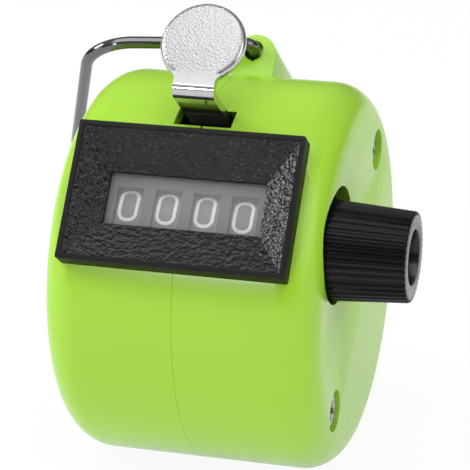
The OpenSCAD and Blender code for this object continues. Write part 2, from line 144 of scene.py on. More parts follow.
class TallyColours(bpy.types.PropertyGroup):
    """Colours of the counter's finishes."""

    case_green: tint("Case green", "Moulded case", (0.36, 0.66, 0.035))
    bezel_black: tint("Bezel black", "Bezel", (0.006, 0.006, 0.0065))
    knob_black: tint("Knob black", "Reset knob", (0.005, 0.005, 0.0055))
    mask_grey: tint("Mask grey", "Plate behind the window", (0.075, 0.08, 0.085))
    wheel_grey: tint("Wheel grey", "Number wheels", (0.19, 0.195, 0.2))
    digit_white: tint("Digit white", "Printed digits", (0.93, 0.93, 0.93))
    window_haze: tint("Window haze", "Haze of the clear window", (0.5, 0.51, 0.52))
    chrome: tint("Chrome", "Thumb lever", (0.56, 0.56, 0.57))
    wire: tint("Wire", "Finger ring", (0.17, 0.17, 0.175))
    steel: tint("Steel", "Screws and inner works", (0.56, 0.56, 0.57))
    brass: tint("Brass", "Shaft collars", (0.62, 0.45, 0.16))
    pinion: tint("Pinion", "Carry pinions", (0.72, 0.69, 0.6))
    floor: tint("Floor", "Floor under the counter", (0.9, 0.9, 0.9))


def sizes():
    """The size settings of this scene."""
    return bpy.context.scene.tally_sizes


def colours():
    """The colour settings of this scene."""
    return bpy.context.scene.tally_colours


# modelling helpers

def clear_selection():
    """Leaves edit mode and deselects everything."""
    active = bpy.context.view_layer.objects.active
    if active is not None and active.mode != "OBJECT":
        bpy.ops.object.mode_set(mode="OBJECT")
    bpy.ops.object.select_all(action="DESELECT")


def pick(obj):
    """Makes one object the only selected and active one."""
    clear_selection()
    obj.select_set(True)
    bpy.context.view_layer.objects.active = obj


def settle(obj):
    """Moves an object's place into its mesh."""
    pick(obj)
    bpy.ops.object.transform_apply(location=True, rotation=True, scale=True)
    return obj


def place(obj, matrix):
    """Puts a drawing in its place, in the mesh."""
    obj.matrix_world = matrix
    return settle(obj)


def delete_object(obj):
    """Removes an object and its mesh."""
    mesh = obj.data
    bpy.data.objects.remove(obj, do_unlink=True)
    bpy.data.meshes.remove(mesh)


def join_all(pieces):
    """Joins several meshes into the first one."""
    pick(pieces[0])
    for piece in pieces[1:]:
        piece.select_set(True)
    bpy.ops.object.join()
    return pieces[0]


def add_block(low, high):
    """A box between two corners."""
    low, high = Vector(low), Vector(high)
    clear_selection()
    bpy.ops.mesh.primitive_cube_add(size=1, location=(low + high) / 2, scale=high - low)
    return settle(bpy.context.object)


def add_rod(radius, start, end, sides=ROUND_SIDES):
    """A round bar between two points."""
    start, end = Vector(start), Vector(end)
    turn = (end - start).to_track_quat("Z", "Y").to_euler()
    clear_selection()
    bpy.ops.mesh.primitive_cylinder_add(vertices=sides, radius=radius, depth=(end - start).length,
                                        location=(start + end) / 2, rotation=turn)
    return settle(bpy.context.object)


def add_pin(radius, start, end, y, z, sides=ROUND_SIDES):
    """A round bar along X."""
    return add_rod(radius, (start, y, z), (end, y, z), sides)


def window_block(side, rise, front, back):
    """A box about the window that reaches past its sides and its height."""
    s = sizes()
    half_w, half_h = s.window_width / 2 + side, s.window_height / 2 + rise
    return add_block((-half_w, front, s.window_rise - half_h), (half_w, back, s.window_rise + half_h))


def edit_all(obj):
    """Opens edit mode with everything selected."""
    pick(obj)
    bpy.ops.object.mode_set(mode="EDIT")
    bpy.ops.mesh.select_mode(type="EDGE")
    bpy.ops.mesh.select_all(action="SELECT")


def edit_selected(obj, mode, test):
    """Opens edit mode with the faces, edges or points that pass a test selected."""
    pick(obj)
    bpy.ops.object.mode_set(mode="EDIT")
    bpy.ops.mesh.select_mode(type=mode)
    bpy.ops.mesh.select_all(action="DESELECT")
    bpy.ops.object.mode_set(mode="OBJECT")
    mesh = obj.data
    if mode == "FACE":
        for face in mesh.polygons:
            face.select = test(face.center, face.normal)
    elif mode == "EDGE":
        for edge in mesh.edges:
            edge.select = test(*(mesh.vertices[i].co for i in edge.vertices))
    else:
        for point in mesh.vertices:
            point.select = test(point.co)
    bpy.ops.object.mode_set(mode="EDIT")


def leave_edit():
    """Back to object mode."""
    bpy.ops.object.mode_set(mode="OBJECT")


def edge_at(axis, level):
    """A test for edges that lie at one level along an axis."""
    return lambda a, b: abs(a[axis] - level) < NEAR and abs(b[axis] - level) < NEAR


def bevel_edges(obj, test, width, segments):
    """Rounds the edges that pass a test."""
    edit_selected(obj, "EDGE", test)
    bpy.ops.mesh.bevel(offset=width, segments=segments, affect="EDGES", clamp_overlap=True)
    leave_edit()


def extrude(move):
    """Extrudes what is selected in edit mode."""
    bpy.ops.mesh.extrude_region_move(TRANSFORM_OT_translate={"value": move})


def close_mesh(near):
    """Merges doubled points in edit mode, turns the faces outwards and leaves edit mode."""
    bpy.ops.mesh.select_all(action="SELECT")
    bpy.ops.mesh.remove_doubles(threshold=near)
    bpy.ops.mesh.normals_make_consistent(inside=False)
    leave_edit()


def slice_off(obj, point, normal):
    """Cuts away what lies on the normal's side of a plane and closes the cut."""
    edit_all(obj)
    bpy.ops.mesh.bisect(plane_co=point, plane_no=normal, use_fill=True, clear_outer=True, threshold=TINY)
    leave_edit()


def apply_modifier(obj, modifier):
    """Applies one modifier."""
    pick(obj)
    bpy.ops.object.modifier_apply(modifier=modifier.name)


def combine(obj, tool, operation):
    """Changes an object by another, which is used up."""
    change = obj.modifiers.new("combine", "BOOLEAN")
    change.operation = operation
    change.solver = "EXACT"
    change.object = tool
    apply_modifier(obj, change)
    delete_object(tool)
    return obj


def cut(obj, tool):
    """Takes a tool's shape out of an object."""
    return combine(obj, tool, "DIFFERENCE")


def fuse(obj, tool):
    """Adds a tool's shape to an object."""
    return combine(obj, tool, "UNION")


def soften(obj, width, segments=2, angle=30.0):
    """Rounds the edges that are sharper than an angle."""
    bevel = obj.modifiers.new("soften", "BEVEL")
    bevel.width = width
    bevel.segments = segments
    bevel.limit_method = "ANGLE"
    bevel.angle_limit = math.radians(angle)
    apply_modifier(obj, bevel)


def standing():
    """The turn and lift from the upright drawing to the standing counter."""
    s = sizes()
    return Matrix.Translation((0, 0, s.stand_height)) @ Matrix.Rotation(-s.lean, 4, "X")


def ring_place():
    """The ring's frame in the upright drawing: its hinge side along Y, its reach to negative X."""
    corner = Vector((0.5, -6.55, 28.8)) * MM
    degrees = (-10.9, -11.5, 21.3)
    turn = Euler([math.radians(angle) for angle in degrees], "XYZ")
    return Matrix.Translation(corner) @ turn.to_matrix().to_4x4()


def finish_piece(obj, name, body, materials, nodes=(), smooth=32.0, faces=()):
    """Names, shades and mounts a finished piece; faces holds each face's material number."""
    obj.name = name
    obj.data.name = name
    pick(obj)
    bpy.ops.object.shade_smooth_by_angle(angle=math.radians(smooth))
    obj.data.materials.clear()
    for material in materials:
        obj.data.materials.append(material)
    for face, number in zip(obj.data.polygons, faces):
        face.material_index = number
    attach(obj, body)
    if nodes:
        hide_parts(*nodes)


def dress_node(node, material):
    """Gives a solid that stays its finish."""
    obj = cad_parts[node]
    obj.data.materials.clear()
    obj.data.materials.append(material)


# finishes

def new_finish(name, colour, rough, metallic=0.0):
    """A material with one main shader and its Object coordinates."""
    material = bpy.data.materials.new(name)
    material.use_nodes = True
    tree = material.node_tree
    shader = tree.nodes["Principled BSDF"]
    shader.inputs["Base Color"].default_value = (*colour, 1)
    shader.inputs["Roughness"].default_value = rough
    shader.inputs["Metallic"].default_value = metallic
    return material, tree, shader, tree.nodes.new("ShaderNodeTexCoord").outputs["Object"]


def add_node(tree, kind, values, links):
    """A shader node with some of its inputs set and others linked."""
    node = tree.nodes.new(f"ShaderNode{kind}")
    for socket, value in values.items():
        node.inputs[socket].default_value = value
    for socket, output in links.items():
        tree.links.new(output, node.inputs[socket])
    return node


def add_noise(tree, coords, scale, detail=3.0, rough=0.5):
    """Noise at a number of grains per metre."""
    values = {"Scale": scale, "Detail": detail, "Roughness": rough}
    return add_node(tree, "TexNoise", values, {"Vector": coords}).outputs["Fac"]


def add_cells(tree, coords, scale, smooth):
    """Soft cells at a number of cells per metre."""
    node = add_node(tree, "TexVoronoi", {"Scale": scale}, {"Vector": coords})
    node.feature = "SMOOTH_F1"
    node.inputs["Smoothness"].default_value = smooth
    return node.outputs["Distance"]


def add_range(tree, value, low, high, from_low, from_high):
    """Maps a value from one range to another."""
    limits = {"From Min": from_low, "From Max": from_high, "To Min": low, "To Max": high}
    return add_node(tree, "MapRange", limits, {"Value": value}).outputs["Result"]


def add_math(tree, operation, first, second):
    """Works out one value from two others, the second of which may be a plain number."""
    plain = isinstance(second, float)
    values, links = ({1: second}, {0: first}) if plain else ({}, {0: first, 1: second})
    node = add_node(tree, "Math", values, links)
    node.operation = operation
    return node.outputs[0]


def add_height(tree, coords):
    """How far a direction or a point is up."""
    return add_node(tree, "SeparateXYZ", {}, {0: coords}).outputs["Z"]


def add_bump(tree, shader, height, depth, under=None):
    """Bump of a real depth in metres on a shader, on top of another one if there is one."""
    links = {"Height": height} if under is None else {"Height": height, "Normal": under}
    normal = add_node(tree, "Bump", {"Distance": depth, "Strength": 1.0}, links).outputs["Normal"]
    tree.links.new(normal, shader.inputs["Normal"])
    return normal


def vary_rough(tree, shader, pattern, low, high):
    """Roughness that follows a noise pattern."""
    rough = add_range(tree, pattern, low, high, NOISE_LOW, NOISE_HIGH)
    tree.links.new(rough, shader.inputs["Roughness"])


def scaled(colour, factor):
    """A lighter or darker tint."""
    return tuple(min(1.0, c * factor) for c in colour)


def vary_tint(tree, shader, pattern, colour, low, high):
    """Colour that follows a noise pattern between two tints of it."""
    tints = {MIX_FIRST: (*scaled(colour, low), 1), MIX_SECOND: (*scaled(colour, high), 1)}
    node = add_node(tree, "Mix", tints, {MIX_FACTOR: pattern})
    node.data_type = "RGBA"
    tree.links.new(node.outputs[MIX_RESULT], shader.inputs["Base Color"])


def moulded_case_finish():
    """Glossy lime moulding with faint flow marks and a very fine ripple."""
    green = colours().case_green
    material, tree, shader, coords = new_finish("moulded_case_green", green, rough=0.27)
    flow = add_noise(tree, coords, scale=60.0, detail=2.0)
    vary_tint(tree, shader, flow, green, low=0.97, high=1.03)
    haze = add_noise(tree, coords, scale=900.0)
    vary_rough(tree, shader, haze, low=0.24, high=0.27)
    ripple = add_noise(tree, coords, scale=160.0, detail=2.0)
    add_bump(tree, shader, ripple, depth=0.006 * MM)
    shader.inputs["IOR"].default_value = 1.5
    return material


def bezel_grain_finish():
    """Coarse leather grain on the bezel's sloping faces."""
    material, tree, shader, coords = new_finish("bezel_leather_black", colours().bezel_black, rough=0.2)
    grain = add_noise(tree, coords, scale=1650.0, detail=2.0)
    fine = add_noise(tree, coords, scale=5200.0, detail=4.0, rough=0.6)
    vary_rough(tree, shader, fine, low=0.04, high=0.1)
    leather = add_bump(tree, shader, grain, depth=0.3 * MM)
    add_bump(tree, shader, fine, depth=0.02 * MM, under=leather)
    shader.inputs["Specular IOR Level"].default_value = 0.4
    return material


def clear_window_finish():
    """Clear window with a slight haze."""
    material, tree, shader, coords = new_finish("window_clear", colours().window_haze, rough=0.08)
    shader.inputs["Alpha"].default_value = 0.15
    smear = add_noise(tree, coords, scale=160.0)
    vary_rough(tree, shader, smear, low=0.05, high=0.16)
    return material


def pebbled_pad_finish():
    """Chromed pad face with fine pressed pebbles that fade out on the neck."""
    fade_start, fade_end = 53.0 * MM, 54.4 * MM
    dimmed = scaled(colours().chrome, 0.75)
    material, tree, shader, coords = new_finish("pad_pebbled_chrome", dimmed, rough=0.34, metallic=1.0)
    pebbles = add_cells(tree, coords, scale=4200.0, smooth=0.7)
    fine = add_noise(tree, coords, scale=6000.0)
    vary_rough(tree, shader, fine, low=0.28, high=0.42)
    fade = add_range(tree, add_height(tree, coords), 0.0, 1.0, fade_start, fade_end)
    faded = add_math(tree, "MULTIPLY", pebbles, fade)
    pressed = add_bump(tree, shader, faded, depth=0.06 * MM)
    add_bump(tree, shader, fine, depth=0.008 * MM, under=pressed)
    return material


def grained_finish(name, colour, rough, low, high, depth, scale, metallic=0.0, specular=0.5, tints=None,
                   detail=3.0, grit=0.5):
    """A surface whose fine grain varies its gloss, and its colour where tints are given."""
    material, tree, shader, coords = new_finish(name, colour, rough, metallic)
    grain = add_noise(tree, coords, scale, detail, grit)
    if tints is not None:
        vary_tint(tree, shader, grain, colour, *tints)
    vary_rough(tree, shader, grain, low, high)
    add_bump(tree, shader, grain, depth)
    shader.inputs["Specular IOR Level"].default_value = specular
    return material


def matte_print_finish(name, colour):
    """Matte moulded or printed plastic."""
    return grained_finish(name, colour, rough=0.55, low=0.48, high=0.62, depth=0.006 * MM, scale=2600.0,
                          tints=(0.94, 1.06))


def chrome_finish(name, colour, rough, depth):
    """Bright metal with faint polishing marks."""
    return grained_finish(name, colour, rough, rough * 0.7, rough * 1.4, depth, scale=1400.0, metallic=1.0,
                          detail=4.0)


def worked_metal_finish(name, colour, rough):
    """Plain worked metal with fine marks."""
    return grained_finish(name, colour, rough, rough * 0.75, rough * 1.3, depth=0.006 * MM, scale=2200.0,
                          metallic=1.0, tints=(0.9, 1.08), detail=4.0, grit=0.65)


# the pieces

class TALLY_OT_case_halves(bpy.types.Operator):
    """Models the two moulded halves of the drum case with their lug"""

    bl_idname = "tally.case_halves"
    bl_label = "Case halves"

    # places of the mechanism's rods in millimetres
    rods = ((-17.4, 11.9), (-2.3, 11.9), (-10.0, 15.0), (4.0, 3.0), (-6.0, -13.65))

    def drum_half(self, radius, width, rounding, side):
        """Half a drum with one rounded rim."""
        rim_steps = 16
        drum = add_pin(radius, 0, side * width, 0, 0, RIM_SIDES)
        bevel_edges(drum, edge_at(X, side * width), rounding, rim_steps)
        return drum

    def lug_half(self, side):
        """Half the lug with its rounded top, ring hole and drop-shaped mouth."""
        half, front, back, foot, top = 2.85 * MM, -4.5 * MM, 8.0 * MM, 20.0 * MM, 28.0 * MM
        lug = add_rod(half, (0, front, top), (0, back, top))
        fuse(lug, add_block((-half, front, foot), (half, back, top)))
        soften(lug, width=0.35 * MM, segments=3, angle=50.0)
        slice_off(lug, (0, 0, 0), (-side, 0, 0))
        hole_radius, hole_start, hole_end = 1.15 * MM, -4.0 * MM, 22.0 * MM
        cut(lug, place(add_rod(hole_radius, (0, hole_start, 0), (0, hole_end, 0)), ring_place()))
        x, z, radius, depth = -0.2 * MM, 28.75 * MM, 1.25 * MM, 1.6 * MM
        mouth = add_rod(radius, (x, front - MM, z), (x, front + depth, z))
        point = add_block((-radius, -MM, -radius), (0, depth, 0))
        fuse(mouth, place(point, Matrix.Translation((x, front, z)) @ Matrix.Rotation(-QUARTER / 2, 4, "Y")))
        return cut(lug, mouth)

    def cavity(self, side):
        """The hollow of one half, a little past the parting line."""
        s = sizes()
        overlap = 0.5 * MM
        hollow = self.drum_half(s.drum_radius - s.wall, s.half_width - s.wall, s.rim_round - s.wall, side)
        slice_off(hollow, (0, s.wall - s.front_flat, 0), (0, -1, 0))
        edit_selected(hollow, "FACE", lambda c, n: abs(c.x) < NEAR and abs(n.x) > FACING)
        extrude((-side * overlap, 0, 0))
        leave_edit()
        return hollow

    def add_mounts(self, shell, side):
        """Bosses for the screws and sockets for the rods."""
        s = sizes()
        radius, sunk = 3.05 * MM, 0.6 * MM
        end = side * (s.half_width - sunk)
        for y, z, _ in SCREWS:
            fuse(shell, add_pin(radius, side * s.seam, end, y, z, SCREW_SIDES))
        radius, hole_radius, start, sunk = 2.0 * MM, 1.02 * MM, side * 13.2 * MM, 1.5 * MM
        end, hole_end = side * (s.half_width - sunk), side * (s.half_width - s.wall)
        for rod_y, rod_z in self.rods:
            y, z = rod_y * MM, rod_z * MM
            fuse(shell, add_pin(radius, start, end, y, z, SMALL_SIDES))
            cut(shell, add_pin(hole_radius, start - side * MM, hole_end, y, z, SMALL_SIDES))

    def cut_front(self, shell):
        """The window, the lever's slot and the notch between the slot and the bezel."""
        s = sizes()
        outside, gap, spigot_end = -29.0 * MM, 0.12 * MM, -20.4 * MM
        cut(shell, window_block(SPIGOT_SIDE + gap, SPIGOT_RISE + gap, outside, spigot_end))
        beside, below, above, slot_end = 1.08 * MM, 2.07 * MM, 0.67 * MM, -14.0 * MM
        half_w, low, high = s.lever_width / 2 + beside, s.lever_rise - below, s.lever_rise + above
        cut(shell, add_block((-half_w, outside, low), (half_w, slot_end, high)))
        notch, notch_end = 0.13 * MM, -21.0 * MM
        bezel_top = s.bezel_rise + s.bezel_height / 2
        cut(shell, add_block((-notch, outside, bezel_top), (notch, notch_end, low + notch)))

    def cut_right(self, shell):
        """The knob hole and screw recesses of the right half, with flared mouths."""
        s = sizes()
        face, axis_y = s.half_width, -s.wheel_depth
        knob_radius, knob_depth, recess_radius, shank_radius = 7.35 * MM, 5.0 * MM, 2.7 * MM, 1.25 * MM
        flare, flare_steps = 0.3 * MM, 3
        cut(shell, add_pin(knob_radius, face - knob_depth, face + MM, axis_y, 0, WIDE_SIDES))
        mouths = [(axis_y, 0, knob_radius)]
        for y, z, sunk in SCREWS:
            cut(shell, add_pin(recess_radius, face - sunk, face + MM, y, z))
            cut(shell, add_pin(shank_radius, -MM, face, y, z))
            mouths.append((y, z, recess_radius))
        on_face = edge_at(X, face)

        def on_mouth(a, b):
            return on_face(a, b) and any(abs(math.hypot(a.y - y, a.z - z) - r) < NEAR for y, z, r in mouths)

        bevel_edges(shell, on_mouth, flare, flare_steps)

    def cut_left(self, shell):
        """The threaded holes of the left half."""
        radius, end = 1.12 * MM, -9.5 * MM
        for y, z, _ in SCREWS:
            cut(shell, add_pin(radius, end, MM, y, z, SMALL_SIDES))

    def half(self, side):
        """One half of the case."""
        s = sizes()
        shell = self.drum_half(s.drum_radius, s.half_width, s.rim_round, side)
        bevel_edges(shell, edge_at(X, 0), s.seam, segments=1)
        slice_off(shell, (0, -s.front_flat, 0), (0, -1, 0))
        fuse(shell, self.lug_half(side))
        cut(shell, self.cavity(side))
        self.add_mounts(shell, side)
        self.cut_front(shell)
        if side > 0:
            self.cut_right(shell)
        else:
            self.cut_left(shell)
        place(shell, standing())
        slice_off(shell, (0, 0, 0), (0, 0, -1))
        return shell

    def execute(self, context):
        green = moulded_case_finish()
        for side, name in ((-1, "left_shell"), (1, "right_shell")):
            finish_piece(self.half(side), f"{name}_moulding", "case", [green], [name])
        return {"FINISHED"}


class TALLY_OT_case_screws(bpy.types.Operator):
    """Models the two sunk cross-head screws"""

    bl_idname = "tally.case_screws"
    bl_label = "Case screws"

    def screw(self, y, z, seat):
        """One screw with a rounded head, its cross and its shank."""
        radius, height, rounding, steps = 2.4 * MM, 1.0 * MM, 0.45 * MM, 5
        screw = add_pin(radius, seat, seat + height, y, z, SCREW_SIDES)
        bevel_edges(screw, edge_at(X, seat + height), rounding, steps)
        half_w, half_l, low, high, floor = 0.34 * MM, 1.25 * MM, -0.1 * MM, 2.0 * MM, 0.35 * MM
        for angle in (12, 102):
            cross = add_block((low, -half_w, -half_l), (high, half_w, half_l))
            turn = Matrix.Rotation(math.radians(angle), 4, "X")
            cut(screw, place(cross, Matrix.Translation((seat + floor, y, z)) @ turn))
        soften(screw, width=0.06 * MM, segments=1, angle=40.0)
        radius, reach, overlap = 1.1 * MM, 24.0 * MM, 0.3 * MM
        return fuse(screw, add_pin(radius, seat - reach, seat + overlap, y, z, SMALL_SIDES))

    def execute(self, context):
        face = sizes().half_width
        screws = join_all([self.screw(y, z, face - sunk) for y, z, sunk in SCREWS])
        place(screws, standing())
        steel = worked_metal_finish("screw_bright_steel", colours().steel, rough=0.25)
        finish_piece(screws, "cross_head_screws", "case", [steel], ["case_screws"])
        return {"FINISHED"}


class TALLY_OT_bezel(bpy.types.Operator):
    """Models the black bezel with its sloping grained recess"""

    bl_idname = "tally.bezel"
    bl_label = "Bezel"

    def recess(self, lip_w, lip_h, outside, slope_top, slope_end):
        """The funnel from the lip to the window."""
        s = sizes()
        rise, run = s.bezel_rise, 3.0 * MM
        recess = add_block((-lip_w, outside, rise - lip_h), (lip_w, slope_top, rise + lip_h))
        edit_selected(recess, "FACE", lambda c, n: n.y > FACING)
        extrude((0, slope_end - slope_top, 0))
        shrink = (s.window_width / 2 / lip_w, 1, s.window_height / 2 / lip_h)
        bpy.ops.transform.resize(value=shrink, center_override=(0, slope_end, rise))
        bpy.ops.transform.translate(value=(0, 0, s.window_rise - rise))
        extrude((0, run, 0))
        leave_edit()
        return recess

    def execute(self, context):
        s = sizes()
        half_w, half_h, rise = s.bezel_width / 2, s.bezel_height / 2, s.bezel_rise
        front, back = -s.front_flat - s.bezel_thick, -s.front_flat
        corner_round, edge_round, steps = 0.25 * MM, 0.13 * MM, 3
        bezel = add_block((-half_w, front, rise - half_h), (half_w, back, rise + half_h))
        bevel_edges(bezel, lambda a, b: abs(a.y - b.y) > MM, corner_round, steps)
        overlap, spigot_back = 0.2 * MM, -22.65 * MM
        fuse(bezel, window_block(SPIGOT_SIDE, SPIGOT_RISE, back - overlap, spigot_back))
        lip_w, lip_h = half_w - s.bezel_lip, half_h - s.bezel_lip
        slope_top, slope_end = front + 0.2 * MM, front + 2.3 * MM
        cut(bezel, self.recess(lip_w, lip_h, front - MM, slope_top, slope_end))
        pocket_side, pocket_rise, pocket_back = 0.9 * MM, 0.8 * MM, -20.0 * MM
        cut(bezel, window_block(pocket_side, pocket_rise, LENS_FRONT, pocket_back))
        soften(bezel, edge_round, steps, angle=25.0)
        # the grain is on faces in the recess that slope, and so look partly to the front
        most, least = -0.97, -0.12
        faces = []
        for face in bezel.data.polygons:
            c, n = face.center, face.normal
            in_recess = abs(c.x) < lip_w and abs(c.z - rise) < lip_h and slope_top < c.y < slope_end
            faces.append(int(in_recess and most < n.y < least))
        place(bezel, standing())
        satin = grained_finish("bezel_satin_black", colours().bezel_black, rough=0.45, low=0.38, high=0.55,
                               depth=0.01 * MM, scale=4000.0, specular=0.18)
        finish_piece(bezel, "bezel_frame", "case", [satin, bezel_grain_finish()], ["bezel"],
                     faces=faces)
        return {"FINISHED"}


class TALLY_OT_window(bpy.types.Operator):
    """Models the clear window and finishes the plate behind it"""

    bl_idname = "tally.window"
    bl_label = "Window"

    def execute(self, context):
        side, rise, back = 0.85 * MM, 0.75 * MM, -22.98 * MM
        lens = window_block(side, rise, LENS_FRONT, back)
        soften(lens, width=0.06 * MM)
        place(lens, standing())
        finish_piece(lens, "clear_lens", "case", [clear_window_finish()], ["window_lens"])
        dress_node("number_mask", matte_print_finish("mask_grey_plate", colours().mask_grey))
        return {"FINISHED"}


class TALLY_OT_number_wheels(bpy.types.Operator):
    """Prints the digits round the four number wheels"""

    bl_idname = "tally.number_wheels"
    bl_label = "Number wheels"

    # each wheel's place in steps of the pitch, and how many degrees its digits stand low
    wheels = (("thousands", -1.5, 7.8), ("hundreds", -0.5, 7.5), ("tens", 0.5, 7.8), ("units", 1.5, 5.9))

    def zero(self):
        """A flat upright 0, facing the front: two rings of points drawn apart at their middle."""
        s = sizes()
        corner, points, middle = 1.1 * MM, 48, 0.001 * MM
        flat, straight = s.digit_width / 2 - corner, s.digit_height / 2 - corner
        rings = []
        for radius in (corner, corner - s.digit_stroke):
            clear_selection()
            bpy.ops.mesh.primitive_circle_add(vertices=points, radius=radius, fill_type="NOTHING",
                                              rotation=(QUARTER, math.pi / points, 0))
            ring = settle(bpy.context.object)
            for sign in (-1, 1):
                edit_selected(ring, "VERT", lambda p: p.z * sign > middle)
                bpy.ops.transform.translate(value=(0, 0, sign * straight))
                leave_edit()
                edit_selected(ring, "VERT", lambda p: p.x * sign > middle)
                bpy.ops.transform.translate(value=(sign * flat, 0, 0))
                leave_edit()
            rings.append(ring)
        digit = join_all(rings)
        edit_all(digit)
        bpy.ops.mesh.bridge_edge_loops()
        leave_edit()
        return digit

    def numeral(self, value):
        """A flat upright numeral, facing the front, made to the digits' size with a narrow 1."""
        s = sizes()
        type_size, curve_steps, one_width = 1.4, 6, 0.45
        clear_selection()
        bpy.ops.object.text_add(rotation=(QUARTER, 0, 0))
        text = bpy.context.object
        text.data.body = str(value)
        text.data.align_x = "CENTER"
        text.data.size = s.digit_height * type_size
        text.data.resolution_u = curve_steps
        bpy.ops.object.convert(target="MESH")
        digit = settle(bpy.context.object)
        across = [point.co.x for point in digit.data.vertices]
        upward = [point.co.z for point in digit.data.vertices]
        left, right, low, high = min(across), max(across), min(upward), max(upward)
        wide = s.digit_width * (one_width if value == 1 else 1.0)
        grow = Matrix.Diagonal((wide / (right - left), 1, s.digit_height / (high - low), 1))
        return place(digit, grow @ Matrix.Translation((-(left + right) / 2, 0, -(low + high) / 2)))

    def about_axis(self, degrees):
        """A turn about the wheels' axis."""
        centre = Matrix.Translation((0, -sizes().wheel_depth, 0))
        return centre @ Matrix.Rotation(math.radians(degrees), 4, "X") @ centre.inverted()

    def wrapped(self, value):
        """A numeral laid on the wheel's rim in level slices, at its place round the wheel."""
        s = sizes()
        slices, slice_near, stand_off, lift, digit_step = 16, 0.00001 * MM, 2.0 * MM, 0.03 * MM, -36
        rim_half, rim_sides, axis_y = 20.0 * MM, 256, -s.wheel_depth
        digit = self.zero() if value == 0 else self.numeral(value)
        edit_all(digit)
        for i in range(1, slices):
            bpy.ops.mesh.select_all(action="SELECT")
            level = s.digit_height * (i / slices - 0.5)
            bpy.ops.mesh.bisect(plane_co=(0, 0, level), plane_no=(0, 0, 1), threshold=slice_near)
        leave_edit()
        place(digit, Matrix.Translation((0, axis_y - s.wheel_radius - stand_off, 0)))
        rim = add_pin(s.wheel_radius, -rim_half, rim_half, axis_y, 0, rim_sides)
        wrap = digit.modifiers.new("wrap", "SHRINKWRAP")
        wrap.wrap_method = "PROJECT"
        wrap.use_project_y = True
        wrap.use_positive_direction = True
        wrap.use_negative_direction = False
        wrap.target = rim
        wrap.offset = lift / 2
        apply_modifier(digit, wrap)
        delete_object(rim)
        skin = digit.modifiers.new("skin", "SOLIDIFY")
        skin.thickness = lift
        skin.offset = 0.0
        apply_modifier(digit, skin)
        return place(digit, self.about_axis(digit_step * value))

    def execute(self, context):
        s = sizes()
        digit_shift = -0.12 * MM
        master = join_all([self.wrapped(value) for value in range(10)])
        white = matte_print_finish("digit_white_print", colours().digit_white)
        grey = matte_print_finish("wheel_grey_plastic", colours().wheel_grey)
        for name, step, low in self.wheels:
            pick(master)
            bpy.ops.object.duplicate(linked=False)
            copy = bpy.context.object
            shift = Matrix.Translation((step * s.wheel_pitch + digit_shift, 0, -s.wheel_drop))
            place(copy, standing() @ shift @ self.about_axis(-low))
            finish_piece(copy, f"{name}_digits", name, [white])
            dress_node(f"{name}_wheel", grey)
        delete_object(master)
        return {"FINISHED"}


